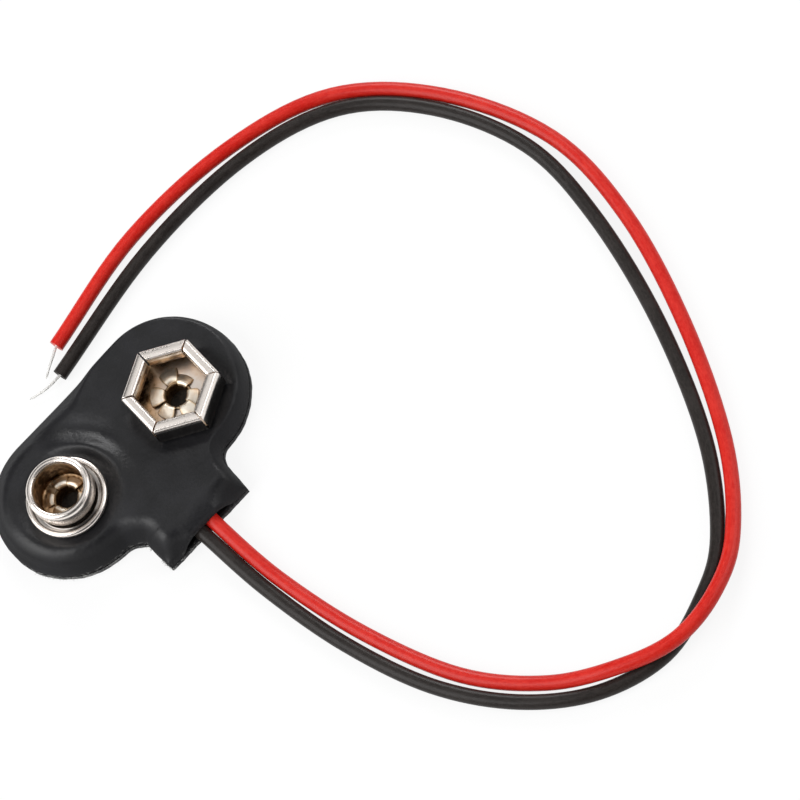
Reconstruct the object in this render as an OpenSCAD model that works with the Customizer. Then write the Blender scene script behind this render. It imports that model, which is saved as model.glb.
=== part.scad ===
// Snap lead for a block battery with two snap terminals. A soft cover with two round lobes
// and a tab holds a round stud and a six-petal socket; two leads run out of the tab's end.
// Origin: on the back face, midway between the two contact axes. +X runs from the stud to
// the socket, the tab points to -Y and the contacts face +Z. Sizes are in millimetres.

/* [Contacts] */
// Distance between the axes of the stud and the socket
contact_pitch = 12.7; // [12.3:0.1:13.5]
// Diameter of the stud's head
stud_d = 5.7; // [5.5:0.05:6]
// Height of the stud above the cover
stud_h = 3; // [2.7:0.1:3.6]
// Diameter of the dish around the stud
dish_d = 7.2; // [6.9:0.1:7.6]
// Width of the socket across its flats
socket_af = 7.55; // [7.35:0.05:7.9]
// Height of the socket above the cover
socket_h = 2.7; // [2.4:0.1:3.2]
// Width of a petal's folded top
fold_w = 1; // [0.8:0.05:1.05]
// Width of the slits between the petals
slit_w = 0.16; // [0.1:0.02:0.3]
// Thickness of the contacts' sheet metal
sheet_t = 0.25; // [0.2:0.01:0.3]

/* [Rivets] */
// Diameter of the bore through each rivet
bore_d = 2; // [1.7:0.1:2.1]
// Wall of the rivet's tube
rivet_t = 0.25; // [0.2:0.01:0.3]
// Diameter over the split curl inside each contact
curl_d = 4; // [3.6:0.1:4.2]
// Diameter of the head under the plate
head_d = 4.2; // [3.8:0.1:4.6]
// Number of petals the curl is split into
curl_splits = 6; // [4:1:8]

/* [Cover] */
// Diameter of the round lobes
lobe_d = 13.8; // [13.6:0.1:14.6]
// How far the lobes' centres lie inside the contact axes
lobe_in = 0.3; // [0:0.05:0.5]
// How far the lobes' centres lie beyond the contact line, away from the tab
lobe_set = 1.1; // [0.7:0.1:1.2]
// Width of the tab
tab_w = 9.2; // [8.4:0.1:10]
// Distance from the contact line to the tab's end
tab_reach = 10; // [9.4:0.1:11.5]
// Radius of the necks between the lobes and the tab
neck_r = 1.5; // [1.2:0.1:1.8]
// Angle at which the cover lies askew of the contact line
cover_turn = 3.5; // [0:0.5:4]
// Thickness of the back skin
back_t = 0.6; // [0.5:0.05:0.8]
// Thickness of the top skin over the plate
skin_t = 0.5; // [0.4:0.05:0.7]
// Thickness of the top skin at its welded edge
edge_t = 0.8; // [0.6:0.05:1]
// Width of the edge around the pocket for the plate
rim_w = 1.35; // [1.2:0.05:1.5]
// Height of the crease that stands up around the stud
crease_h = 0.5; // [0.2:0.05:0.6]
// Thickness of the stiffener plate
plate_t = 0.6; // [0.5:0.05:0.9]
// Depth to which the contacts are pressed into the top skin
press = 0.2; // [0.1:0.05:0.25]

/* [Leads] */
// Diameter over a lead's insulation
lead_d = 1.3; // [1.1:0.05:1.45]
// Diameter of the bare conductor
core_d = 0.36; // [0.3:0.02:0.6]

/* [Hidden] */
$fn = 72;

// Clearances between pieces
fit = 0.05;
lead_gap = 0.03;

// Heights through the sandwich of skins, leads and plate
lead_z = back_t + lead_gap + lead_d / 2;
plate_z = back_t + lead_d + 2 * lead_gap;
plate_top = plate_z + plate_t;
cover_z = plate_top + skin_t;
edge_z = back_t + edge_t;
seat_z = cover_z - press;
tab_top = plate_z + skin_t;

// Contact axes
socket_at = [contact_pitch / 2, 0];
stud_at = [-contact_pitch / 2, 0];

// Rivet radii
bore_r = bore_d / 2;
rivet_r = bore_r + rivet_t;
hole_r = rivet_r + fit;
curl_r = curl_d / 2;
head_r = head_d / 2;

// Plan of the cover: lobes, necks and tab
lobe_r = lobe_d / 2;
lobe_x = contact_pitch / 2 - lobe_in;
tab_x = tab_w / 2;
neck_reach = lobe_r + neck_r;
neck_dx = max(tab_x + neck_r - lobe_x, 0.04 * neck_reach);
neck_x = lobe_x + neck_dx;
neck_y = lobe_set - sqrt(neck_reach * neck_reach - neck_dx * neck_dx);
neck_a = -acos(neck_dx / neck_reach);
pocket_r = lobe_r - rim_w;

// Rounded shoulders of the top skin, broad on the stud's side and tight on the socket's,
// and the stretches of the plan over which they change
stud_shoulder = 1.48 * rim_w;
socket_shoulder = 0.45 * rim_w;
tab_left_shoulder = 1.4 * rim_w;
tab_right_shoulder = 0.6 * rim_w;
pad_change = [3.5, 5];
tab_change = [2, 4];
root_change = [4.2, 2.6];

// Roll of the skin down to the tab's end, where a lip is drawn up over the leads
roll_run = 1.9;
lip_flat = 1.3;
lip_fall = 2.2;

// Crease around the stud, by angle from the line to the socket: its share of the full height
// and how far its crest lies from the dish, then its two slopes and the slack behind it
crease_share = [[-62, 0], [-40, 0.3], [-20, 0.62], [0, 0.85], [22, 1], [45, 0.7], [62, 0.38], [85, 0]];
crease_gap = [[-62, 1.4], [-30, 1.5], [0, 1.4], [22, 1.2], [45, 1.05], [85, 1.2]];
crease_in = 0.58;
crease_out = 0.78;
slack_at = [44, 2.9];
slack_run = [34, 0.85];
slack_h = 0.4 * skin_t;

// Band along the edge that the crease leaves flat, and its fade
calm_w = 0.35;
calm_fade = 1.1;

// Where the leads lie: side by side in the tab, then stripped short of the rivets
lead_side = lead_d / 2 + 0.02;
strip_at = 3.2;
strip_a = 38.5;

// Free run of each lead on the table: x, y and its lift above the table in lead diameters
red_run = [
    [2, -17.5, 0], [4, -26.5, 0], [7.3, -35, 0], [12, -40.8, 0.1], [17.2, -44.3, 0.8],
    [22, -46, 1.1], [27, -45.3, 0.9], [31.4, -42.5, 0.4], [36.4, -36, 0], [41, -26, 0],
    [44.2, -15, 0], [44.6, -5, 0], [40.8, 5, 0], [34, 12.3, 0], [24.5, 15.4, 0],
    [13, 15.5, 0], [1.8, 12.6, 0]
];
black_run = [
    [0.6, -17.5, 0], [2.2, -26, 0], [5, -34, 0], [9.2, -40.2, 0], [14.5, -44.4, 0],
    [20.5, -46, 0], [26, -44.5, 0], [30.4, -41.6, 0], [35.4, -34.6, 0], [39.7, -24, 0],
    [42.3, -13, 0], [42.6, -4, 0], [39.2, 4.6, 0], [33.4, 10.9, 0], [24.5, 13.6, 0],
    [13, 13.3, 0], [0.3, 10.3, 0]
];
red_tip_run = [[0.4, 11.8, -0.1], [-0.8, 11.1, -0.25]];
black_tip_run = [[-1.3, 10.3, -0.1], [-3, 10.7, -0.25]];

// Easing curves
function clamp01(t) = max(0, min(1, t));
function smooth(t) = let (c = clamp01(t)) c * c * (3 - 2 * c);
function round_off(t) = let (c = clamp01(t)) 1 - (1 - c) * (1 - c);
function blend(a, b, t) = a + (b - a) * t;
function hill(d, w) = exp(-(d / w) * (d / w));
function unit(v) = v / norm(v);

// Points along an arc in the plane, with the first one left out where skip is 1
function arc(c, r, a0, a1, n, skip = 0) = [
    for (i = [skip:n]) let (a = a0 + (a1 - a0) * i / n) c + r * [cos(a), sin(a)]
];

// A point of the cover's plan, turned as the cover lies
function laid(p) = [
    p[0] * cos(cover_turn) - p[1] * sin(cover_turn),
    p[0] * sin(cover_turn) + p[1] * cos(cover_turn)
];

// Right-hand edge of the cover, from the far side round the lobe and neck to the tab's end
edge = concat(
    arc([lobe_x, lobe_set], lobe_r, 90, neck_a, 32),
    arc([neck_x, neck_y], neck_r, neck_a + 180, 180, 5, 1),
    [for (i = [1:7]) blend([neck_x - neck_r, neck_y], [tab_x, -tab_reach], round_off(i / 7))]
);
last = len(edge) - 1;

// Whole outline: the right-hand edge and its mirror image
outline = concat(edge, [for (i = [last:-1:0]) [-edge[i][0], edge[i][1]]]);

// Distance from a point of the plan to the sides of the cover, the tab's end left out
function to_line(p, a, b) =
    let (v = b - a, t = clamp01((p - a) * v / (v * v))) norm(p - a - t * v);
function side_gap(p) =
    let (q = [abs(p[0]), p[1]])
    min(concat([lobe_set + lobe_r - p[1]], [for (i = [0:last - 1]) to_line(q, edge[i], edge[i + 1])]));

// Height of the top skin at a point of the plan: one rounded form over pad and tab, rolled down
// at the tab's end and creased around the stud
function shoulder(p) =
    let (pad = blend(socket_shoulder, stud_shoulder, smooth((pad_change[0] - p[0]) / pad_change[1])),
         tab = blend(tab_right_shoulder, tab_left_shoulder, smooth((tab_change[0] - p[0]) / tab_change[1])))
    blend(pad, tab, smooth((-p[1] - root_change[0]) / root_change[1]));
function crease(p) =
    let (v = laid(p) - stud_at,
         a = atan2(v[1], v[0]),
         out = norm(v) - dish_d / 2,
         off = out - lookup(a, crease_gap))
    crease_h * lookup(a, crease_share) * hill(off, off < 0 ? crease_in : crease_out)
        - slack_h * hill(a - slack_at[0], slack_run[0]) * hill(out - slack_at[1], slack_run[1]);
function skin_z(p) =
    let (gap = side_gap(p),
         rise = round_off((p[1] + tab_reach) / roll_run),
         lip = blend(edge_z, tab_top, smooth(1 - (abs(p[0]) - lip_flat) / lip_fall)),
         crown = blend(lip, cover_z, rise))
    blend(edge_z, crown, round_off(gap / shoulder(p)))
        + rise * smooth((gap - calm_w) / calm_fade) * crease(p);

// Stations across the cover at half-width w, close together over the shoulders and the crease
insets = [0, 0.06, 0.15, 0.28, 0.46, 0.74, 1.1, 1.55] * rim_w;
inmost = len(insets) - 1;
left_steps = 12;
right_steps = 5;
function across(w) =
    let (inner = w - insets[inmost])
    concat(
        [for (s = insets) s - w],
        [for (i = [left_steps - 1:-1:0]) -inner * i / left_steps],
        [for (i = [1:right_steps - 1]) inner * i / right_steps],
        [for (i = [inmost:-1:0]) w - insets[i]]
    );
wide = len(across(1));

// Solid between the formed top surface and the weld line, laid up in strips across the cover
module skin_form() {
    top = [for (e = edge, x = across(e[0])) [x, e[1], skin_z([x, e[1]])]];
    foot = [for (e = edge, s = [-1, 0, 1]) [s * e[0], e[1], back_t]];
    f0 = len(top);
    far = f0 + 1;
    near = f0 + 3 * last + 1;
    n0 = last * wide;
    faces = concat(
        [for (j = [0:last - 1], i = [0:wide - 2]) let (a = j * wide + i, d = a + wide)
            each [[a, a + 1, d + 1], [a, d + 1, d]]],
        [for (j = [0:last - 1], k = [0, 1]) let (a = f0 + 3 * j + k, d = a + 3)
            each [[a, d, d + 1], [a, d + 1, a + 1]]],
        [for (j = [0:last - 1]) let (t = j * wide, b = f0 + 3 * j)
            each [[t, t + wide, b + 3], [t, b + 3, b]]],
        [for (j = [0:last - 1]) let (t = (j + 1) * wide - 1, b = f0 + 3 * j + 2)
            each [[t + wide, t, b], [t + wide, b, b + 3]]],
        [for (i = [0:wide - 2]) [far, i + 1, i]],
        [[far, far + 1, wide - 1], [far, 0, far - 1]],
        [for (i = [0:wide - 2]) [near, n0 + i, n0 + i + 1]],
        [[near, near - 1, n0], [near, n0 + wide - 1, near + 1]]
    );
    polyhedron(points = concat(top, foot), faces = faces);
}

// Two round ends and the band between them, in the plan of the cover
module lobes(r) {
    for (s = [-1, 1]) translate([s * lobe_x, lobe_set]) circle(r = r);
    translate([0, lobe_set]) square([2 * lobe_x, 2 * r], center = true);
}

// Space for both leads through the tab, opening into the pocket under the plate
module lead_way() {
    way_x = 2 * lead_side + 0.1;
    translate([0, 0, back_t - 1])
        linear_extrude(height = plate_z - back_t + 1)
            polygon([[-3.4, -3.5], [-way_x, -7], [-way_x, -tab_reach - 1],
                     [way_x, -tab_reach - 1], [way_x, -7], [3.4, -3.5]]);
}

// Tent-shaped mouth where the skin is lifted off the back by the leads
module mouth() {
    mouth_x = 2 * lead_d;
    translate([0, 1.8 - tab_reach, 0]) rotate([90, 0, 0])
        linear_extrude(height = 3)
            polygon([[-mouth_x, back_t], [mouth_x, back_t], [mouth_x, back_t + 0.1],
                     [0.9, plate_z], [-0.9, plate_z], [-mouth_x, back_t + 0.1]]);
}

module at_contacts() {
    for (at = [stud_at, socket_at]) translate([at[0], at[1], 0]) children();
}

module top_skin() {
    color("#303034") difference() {
        rotate([0, 0, cover_turn]) difference() {
            skin_form();
            translate([0, 0, back_t - 1])
                linear_extrude(height = plate_top - back_t + 1) lobes(pocket_r);
            lead_way();
            mouth();
        }
        at_contacts() cylinder(r = hole_r, h = 2 * cover_z);
        translate([stud_at[0], stud_at[1], seat_z]) cylinder(d = dish_d + 2 * fit, h = 2);
        translate([socket_at[0], socket_at[1], seat_z])
            cylinder(d = socket_af / cos(30) + 2 * fit, h = 2);
    }
}

module back_skin() {
    color("#26262a") rotate([0, 0, cover_turn]) linear_extrude(height = back_t) polygon(outline);
}

module stiffener_plate() {
    color("#6b5a45") difference() {
        rotate([0, 0, cover_turn]) translate([0, 0, plate_z])
            linear_extrude(height = plate_t) lobes(pocket_r - fit);
        at_contacts() cylinder(r = hole_r, h = 2 * cover_z);
    }
}

// Drawn stud: a shallow dish with a rolled lip, a narrow waist and a round-shouldered head
module stud_contact() {
    dish_r = dish_d / 2;
    stud_r = stud_d / 2;
    cup_r = stud_r - 0.61;
    waist_r = stud_r - 0.23;
    bend = 0.5;
    lip_z = 0.62;
    roll_r = 0.18;
    rim_r = 0.24;
    top_z = stud_h + press;
    profile = concat(
        [[hole_r, 0]],
        arc([dish_r - bend, bend], bend, -90, 0, 6),
        arc([dish_r - roll_r, lip_z], roll_r, 0, 190, 9),
        arc([dish_r - bend, bend], bend - sheet_t, 0, -90, 6),
        [[waist_r + 0.2, sheet_t], [waist_r, sheet_t + 0.2], [waist_r, 1.15], [stud_r, 1.5]],
        arc([stud_r - 0.35, top_z - 0.35], 0.35, 0, 90, 6),
        arc([cup_r + rim_r, top_z - rim_r], rim_r, 90, 180, 5),
        [[cup_r, sheet_t], [hole_r, sheet_t]]
    );
    color("#d8d4c8") translate([stud_at[0], stud_at[1], seat_z])
        rotate_extrude() polygon(profile);
}

// One socket petal on the +X flat: a wall that rises from the floor and folds over inwards
module petal() {
    half = socket_af / 2;
    bend = 0.4;
    fold_r = fold_w / 2;
    fold_z = socket_h + press - fold_r;
    lip_z = fold_z - 1;
    fold_at = [half - fold_r, fold_z];
    foot_at = [half - bend, bend];
    section = concat(
        [[half - bend - 0.5, 0]],
        arc(foot_at, bend, -90, 0, 5),
        arc(fold_at, fold_r, 0, 180, 12),
        arc([half - fold_w + sheet_t / 2, lip_z], sheet_t / 2, 180, 360, 6),
        arc(fold_at, fold_r - sheet_t, 180, 0, 8),
        arc(foot_at, bend - sheet_t, 0, -90, 4),
        [[half - bend - 0.5, sheet_t]]
    );
    far = 2 * half;
    intersection() {
        rotate([90, 0, 0]) linear_extrude(height = far, center = true) polygon(section);
        linear_extrude(height = 4 * socket_h, center = true)
            polygon([[slit_w, 0], [far, -(far - slit_w) * tan(30)], [far, (far - slit_w) * tan(30)]]);
    }
}

module socket_contact() {
    floor_r = (socket_af / 2 - 0.4) / cos(30);
    color("#e0ddd4") translate([socket_at[0], socket_at[1], seat_z]) difference() {
        union() {
            rotate([0, 0, 30]) cylinder(r = floor_r, h = sheet_t, $fn = 6);
            for (i = [0:5]) rotate([0, 0, 60 * i]) petal();
        }
        translate([0, 0, -1]) cylinder(r = hole_r, h = 3);
    }
}

// Hollow rivet: a head under the plate, a tube, and a curl split into petals on the contact
module rivet() {
    curl_z = seat_z + sheet_t;
    curl_h = 0.4;
    profile = concat(
        [[bore_r, plate_z - rivet_t], [head_r, plate_z - rivet_t], [head_r, plate_z],
         [rivet_r, plate_z], [rivet_r, curl_z], [curl_r - 0.1, curl_z], [curl_r, curl_z + 0.1]],
        arc([bore_r + curl_h, curl_z], curl_h, 60, 180, 8)
    );
    difference() {
        rotate_extrude() polygon(profile);
        for (i = [0:curl_splits - 1]) rotate([0, 0, 360 * (i + 0.3) / curl_splits])
            translate([rivet_r + 0.1, -0.14, curl_z]) cube([curl_r, 0.28, 1]);
    }
}

module stud_rivet() {
    color("#b9a878") translate([stud_at[0], stud_at[1], 0]) rivet();
}

module socket_rivet() {
    color("#b9a878") translate([socket_at[0], socket_at[1], 0]) rivet();
}

// Bare conductor from the end of a lead's insulation into its solder joint
module tail(side) {
    at = side > 0 ? socket_at : stud_at;
    translate([at[0], at[1], lead_z]) rotate([0, 0, side > 0 ? 180 + strip_a : -strip_a])
        translate([0.3, 0, 0]) rotate([0, 90, 0]) cylinder(d = core_d, h = strip_at - 0.3, $fn = 24);
}

// Flattened drop of solder under a rivet's head, around the end of the conductor
module solder(side) {
    at = side > 0 ? socket_at : stud_at;
    top = plate_z - rivet_t;
    low = back_t + 0.12;
    difference() {
        translate([at[0], at[1], 0]) rotate_extrude()
            polygon([[0, low], [0.9, low + 0.06], [1.4, low + 0.35], [1.7, top], [0, top]]);
        tail(side);
    }
}

module stud_solder() {
    color("#a8aab0") solder(-1);
}

module socket_solder() {
    color("#a8aab0") solder(1);
}

// Smooth line through route points, n steps to a span
function between(a, b, c, d, t) =
    0.5 * (2 * b + (c - a) * t + (2 * a - 5 * b + 4 * c - d) * t * t
           + (3 * b - a - 3 * c + d) * t * t * t);
function line_through(p, n) =
    let (m = len(p) - 1,
         q = concat([2 * p[0] - p[1]], p, [2 * p[m] - p[m - 1]]))
    concat([for (i = [1:m], k = [0:n - 1]) between(q[i - 1], q[i], q[i + 1], q[i + 2], k / n)], [p[m]]);

// Eight-sided ring around a route, flat side down
function ring(p, along, r) =
    let (side = unit(cross(along, [0, 0, 1])), up = cross(side, unit(along)))
    [for (i = [0:7]) let (a = 22.5 + 45 * i) p + r * (cos(a) * side + sin(a) * up)];

// Tube of radius r along a route that sets out in direction start
module cord(route, r, n, start) {
    line = line_through(route, n);
    m = len(line) - 1;
    e = len(route) - 1;
    rings = [for (i = [0:m])
        ring(line[i], i == 0 ? start : i == m ? route[e] - route[e - 1] : line[i + 1] - line[i - 1], r)];
    faces = concat(
        [[7, 6, 5, 4, 3, 2, 1, 0], [for (i = [0:7]) 8 * m + i]],
        [for (j = [0:m - 1], i = [0:7])
            let (a = 8 * j + i, b = 8 * j + (i + 1) % 8)
            each [[a, b, b + 8], [a, b + 8, a + 8]]]
    );
    polyhedron(points = [for (g = rings) each g], faces = faces);
}

// Route of a lead: from its stripped end under the plate, through the tab and over the table
function on_table(q) = [q[0], q[1], lead_d * (0.5 + q[2])];
function lead_route(side, run) =
    let (at = side > 0 ? socket_at : stud_at,
         root = laid([side * (lead_side + 0.15), -6.8]),
         exit = laid([side * lead_side, -tab_reach]))
    concat(
        [for (t = [strip_at, strip_at + 2])
            [at[0] - side * cos(strip_a) * t, -sin(strip_a) * t, lead_z]],
        [[root[0], root[1], lead_z], [exit[0], exit[1], lead_z]],
        [for (q = run) on_table(q)]
    );
red_route = lead_route(1, red_run);
black_route = lead_route(-1, black_run);

module lead(route) {
    cord(route, lead_d / 2, 2, route[1] - route[0]);
}

// Stripped end that carries on from the far end of a lead
module tip(route, run) {
    e = len(route) - 1;
    cord(concat([route[e]], [for (q = run) on_table(q)]), core_d / 2, 1, route[e] - route[e - 1]);
}

module red_lead() {
    color("#d8282c") lead(red_route);
}

module black_lead() {
    color("#2b2a2a") lead(black_route);
}

module red_tip() {
    color("#c9c6bf") tip(red_route, red_tip_run);
}

module black_tip() {
    color("#c9c6bf") tip(black_route, black_tip_run);
}

module red_tail() {
    color("#c98a4a") tail(1);
}

module black_tail() {
    color("#c98a4a") tail(-1);
}

top_skin();
back_skin();
stiffener_plate();
stud_contact();
socket_contact();
stud_rivet();
socket_rivet();
stud_solder();
socket_solder();
red_lead();
black_lead();
red_tip();
black_tip();
red_tail();
black_tail();
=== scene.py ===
from math import acos, cos, pi, radians, sin, sqrt, tan

import bmesh
import bpy
import numpy as np
from mathutils import Matrix, Vector


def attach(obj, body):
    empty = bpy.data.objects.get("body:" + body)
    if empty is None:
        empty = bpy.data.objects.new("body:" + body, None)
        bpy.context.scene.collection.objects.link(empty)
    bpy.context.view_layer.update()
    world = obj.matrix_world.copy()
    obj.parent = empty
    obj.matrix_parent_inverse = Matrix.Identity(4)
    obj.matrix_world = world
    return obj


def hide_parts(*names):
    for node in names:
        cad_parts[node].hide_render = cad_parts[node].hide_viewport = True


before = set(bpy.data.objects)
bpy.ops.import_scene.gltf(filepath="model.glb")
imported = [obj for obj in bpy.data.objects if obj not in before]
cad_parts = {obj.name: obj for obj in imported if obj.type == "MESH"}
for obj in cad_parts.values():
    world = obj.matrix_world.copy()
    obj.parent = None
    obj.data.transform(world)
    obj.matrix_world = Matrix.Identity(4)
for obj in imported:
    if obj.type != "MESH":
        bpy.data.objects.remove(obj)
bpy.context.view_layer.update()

mm = 0.001
scene = bpy.context.scene
scene.view_settings.view_transform = "Standard"
print("frame loaded with", len(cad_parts), "nodes")


# camera: long lens, high above the tab side, rolled so that the pad stands askew
camera = {"target": (19.70, -12.97, 0.0), "distance": 400.0, "azimuth": -8.0, "elevation": 65.6,
          "roll": -35.79, "lens": 213.76, "sensor": 36.0, "clip": (0.01, 20.0)}


def placed(name, data):
    obj = bpy.data.objects.new(name, data)
    scene.collection.objects.link(obj)
    return obj


def makeCamera(c):
    az, el, roll = (radians(c[k]) for k in ("azimuth", "elevation", "roll"))
    back = Vector((sin(az) * cos(el), -cos(az) * cos(el), sin(el)))
    level = Vector((0, 0, 1)).cross(back).normalized()
    rise = back.cross(level)
    right = cos(roll) * level + sin(roll) * rise
    up = cos(roll) * rise - sin(roll) * level
    data = bpy.data.cameras.new("photoCamera")
    data.lens, data.sensor_width = c["lens"], c["sensor"]
    data.clip_start, data.clip_end = c["clip"]
    obj = placed("photoCamera", data)
    place = Matrix((right, up, back)).transposed().to_4x4()
    place.translation = mm * (Vector(c["target"]) + c["distance"] * back)
    obj.matrix_world = place
    scene.camera = obj


makeCamera(camera)
print("camera set")


# a socket of any node tree; operators on it add Math nodes
class Wire:
    def __init__(self, tree, socket=None):
        self.tree, self.socket = tree, socket

    def node(self, kind, settings=None, sockets=None, out=0):
        made = self.tree.nodes.new(kind)
        for key, value in (settings or {}).items():
            if key == "stops":
                ramp = made.color_ramp.elements
                while len(ramp) < len(value):
                    ramp.new(0.5)
                for stop, (spot, shade) in zip(ramp, value):
                    stop.position, stop.color = spot, shade
            else:
                setattr(made, key, value)
        for key, value in (sockets or {}).items():
            if isinstance(value, Wire):
                self.tree.links.new(value.socket, made.inputs[key])
            elif value is not None:
                made.inputs[key].default_value = value
        return Wire(self.tree, made.outputs[out])

    def also(self, out):
        return Wire(self.tree, self.socket.node.outputs[out])

    def math(self, operation, *values):
        sockets = {i: v for i, v in enumerate(values)}
        return self.node("ShaderNodeMath", {"operation": operation}, sockets)

    def __add__(self, other):
        return self.math("ADD", self, other)

    def __radd__(self, other):
        return self.math("ADD", other, self)

    def __sub__(self, other):
        return self.math("SUBTRACT", self, other)

    def __rsub__(self, other):
        return self.math("SUBTRACT", other, self)

    def __mul__(self, other):
        return self.math("MULTIPLY", self, other)

    def __rmul__(self, other):
        return self.math("MULTIPLY", other, self)

    def __truediv__(self, other):
        return self.math("DIVIDE", self, other)

    def __rtruediv__(self, other):
        return self.math("DIVIDE", other, self)

    def __pow__(self, other):
        return self.math("POWER", self, other)

    def spread(self, low, high, toLow=0.0, toHigh=1.0):
        return self.node("ShaderNodeMapRange", {"interpolation_type": "SMOOTHSTEP"},
                         {0: self, 1: low, 2: high, 3: toLow, 4: toHigh})

    def blend(self, first, second):
        return self.node("ShaderNodeMix", {"data_type": "RGBA"}, {0: self, 6: first, 7: second}, 2)

    def vector(self, operation, first, second, out=0):
        key = "Scale" if operation == "SCALE" else 1
        return self.node("ShaderNodeVectorMath", {"operation": operation}, {0: first, key: second}, out)

    def chance(self, low, high, seed, which=None):
        return self.node("FunctionNodeRandomValue", {"data_type": "FLOAT"},
                         {2: low, 3: high, "ID": which, "Seed": seed}, 1)


def inMillimetres(pen):
    return pen.vector("SCALE", pen.node("ShaderNodeTexCoord", out="Object"), 1000.0)


def towards(pen, at, way):
    apart = pen.node("ShaderNodeSeparateXYZ", None, {0: at}, "X")
    return apart * way[0] + apart.also("Y") * way[1]


def clouds(pen, at, scale, detail=3.0, roughness=0.55):
    return pen.node("ShaderNodeTexNoise", None, {"Vector": at, "Scale": scale, "Detail": detail,
                                                "Roughness": roughness}, "Fac")


def stretched(pen, at, scale):
    return pen.vector("MULTIPLY", at, scale)


def own(pen, name):
    return pen.node("ShaderNodeAttribute", {"attribute_name": name}, None, "Fac")


def bump(pen, height, depth, strength=1.0):
    return pen.node("ShaderNodeBump", None, {"Strength": strength, "Distance": depth * mm, "Height": height})


def makeMaterial(name, looks, **fixed):
    material = bpy.data.materials.new(name)
    material.use_nodes = True
    tree = material.node_tree
    tree.nodes.clear()
    shader = tree.nodes.new("ShaderNodeBsdfPrincipled")
    end = tree.nodes.new("ShaderNodeOutputMaterial")
    tree.links.new(shader.outputs[0], end.inputs["Surface"])
    for key, value in fixed.items():
        shader.inputs[key.replace("_", " ")].default_value = value
    for key, value in looks(Wire(tree)).items():
        if isinstance(value, Wire):
            tree.links.new(value.socket, shader.inputs[key])
        else:
            shader.inputs[key].default_value = value
    return material


# finishes; colours are linear
leather = {"black": (0.0058, 0.0058, 0.0068, 1), "worn": (0.0120, 0.0120, 0.0142, 1),
           "cutDark": (0.012, 0.012, 0.013, 1), "cut": (0.055, 0.055, 0.057, 1),
           "core": (0.34, 0.34, 0.33, 1), "grain": 3.0, "pores": 9.0, "rub": 0.45, "gloss": 0.36}
frayedSide = (-0.55, -0.83)      # the left lobe's near edge


def leatherLooks(pen):
    at = inMillimetres(pen)
    grain = pen.node("ShaderNodeTexVoronoi", {"feature": "SMOOTH_F1"},
                     {"Vector": at, "Scale": leather["grain"], "Smoothness": 0.4}, "Distance")
    fine = clouds(pen, at, leather["pores"], 4.0, 0.6)
    patches = clouds(pen, at, 0.35)
    cut = own(pen, "cutEdge")
    fuzz = clouds(pen, at, 6.0, 5.0, 0.7)
    tone = (patches * 0.6 + fine * 0.4).spread(0.36, 0.68)
    skin = tone.blend(leather["black"], leather["worn"])
    edge = fuzz.spread(0.45, 0.62).blend(leather["cutDark"], leather["cut"])
    ragged = towards(pen, at, frayedSide).spread(5.5, 9.0)
    edge = (ragged * clouds(pen, at, 2.6, 4.0, 0.7).spread(0.50, 0.64)).blend(edge, leather["core"])
    rubbed = own(pen, "steep") * leather["rub"]
    return {"Base Color": (cut * fuzz.spread(0.3, 0.55)).blend(skin, edge),
            "Roughness": 0.28 + patches * 0.10 + fine * 0.10 + cut * 0.35 + rubbed,
            "Normal": bump(pen, grain * -0.5 + fine * 0.4 + patches * 0.8, 0.04, 0.7)}


# dull is painted shade for the outsides of the walls; warm and brown are partly real stain and partly painted
# shade in the hollows
nickel = {"bright": (0.89, 0.825, 0.77, 1), "warm": (0.68, 0.46, 0.27, 1), "brown": (0.10, 0.052, 0.022, 1),
          "dull": (0.20, 0.185, 0.175, 1)}


def nickelLooks(pen):
    at = inMillimetres(pen)
    recess = own(pen, "recess")
    stain = clouds(pen, at, 1.3, 4.0, 0.6)
    scratch = clouds(pen, stretched(pen, at, (1.2, 1.2, 22.0)), 2.2, 5.0, 0.7)
    speck = clouds(pen, at, 14.0, 2.0, 0.5)
    # warm and brown where recess is over 0: partly real stain, partly painted shade in the cups and channels
    warmth = (recess * 1.1 + stain * 0.55 - 0.35).spread(0.1, 0.75)
    dark = (recess * stain * 1.6 + speck * 0.25).spread(0.58, 0.98)
    plated = warmth.blend(nickel["bright"], nickel["warm"])
    drawn = (recess * -1.0).spread(0.1, 0.7).blend(plated, nickel["dull"])      # outsides of the walls: painted shade, a dark dull grey in place of their dark reflection and shadow
    return {"Base Color": dark.blend(drawn, nickel["brown"]),
            "Roughness": 0.19 + recess * 0.14 + stain * 0.08 + scratch * 0.06,
            "Normal": bump(pen, scratch * 0.6 + speck * 0.4, 0.004, 0.4)}


brass = {"bright": (0.97, 0.90, 0.79, 1), "gold": (0.80, 0.62, 0.41, 1), "brown": (0.13, 0.066, 0.026, 1)}


def brassLooks(pen):
    at = inMillimetres(pen)
    stain = clouds(pen, at, 2.0, 5.0, 0.65)
    speck = clouds(pen, at, 11.0, 3.0, 0.6)
    recess = own(pen, "recess")
    # warm and dark with the recess marks: painted shade in the bore and in the splits between the leaves,
    # over real stain
    warm = (stain * 0.8 + recess * 0.7).spread(0.25, 0.85)
    dark = (recess * 0.75 + stain * 0.35 + speck * 0.2).spread(0.62, 1.0)
    return {"Base Color": dark.blend(warm.blend(brass["bright"], brass["gold"]), brass["brown"]),
            "Roughness": 0.34 + stain * 0.18 + recess * 0.06,
            "Normal": bump(pen, stain * 0.6 + speck * 0.5, 0.035, 0.8)}


sheath = {"red": (0.55, 0.0100, 0.0058, 1), "redWorn": (0.64, 0.027, 0.017, 1),
          "redCut": (0.74, 0.20, 0.18, 1), "redGloss": 0.25, "black": (0.0160, 0.0130, 0.0118, 1),
          "blackWorn": (0.0290, 0.0240, 0.0220, 1), "blackCut": (0.05, 0.046, 0.042, 1), "blackGloss": 0.18}


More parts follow.
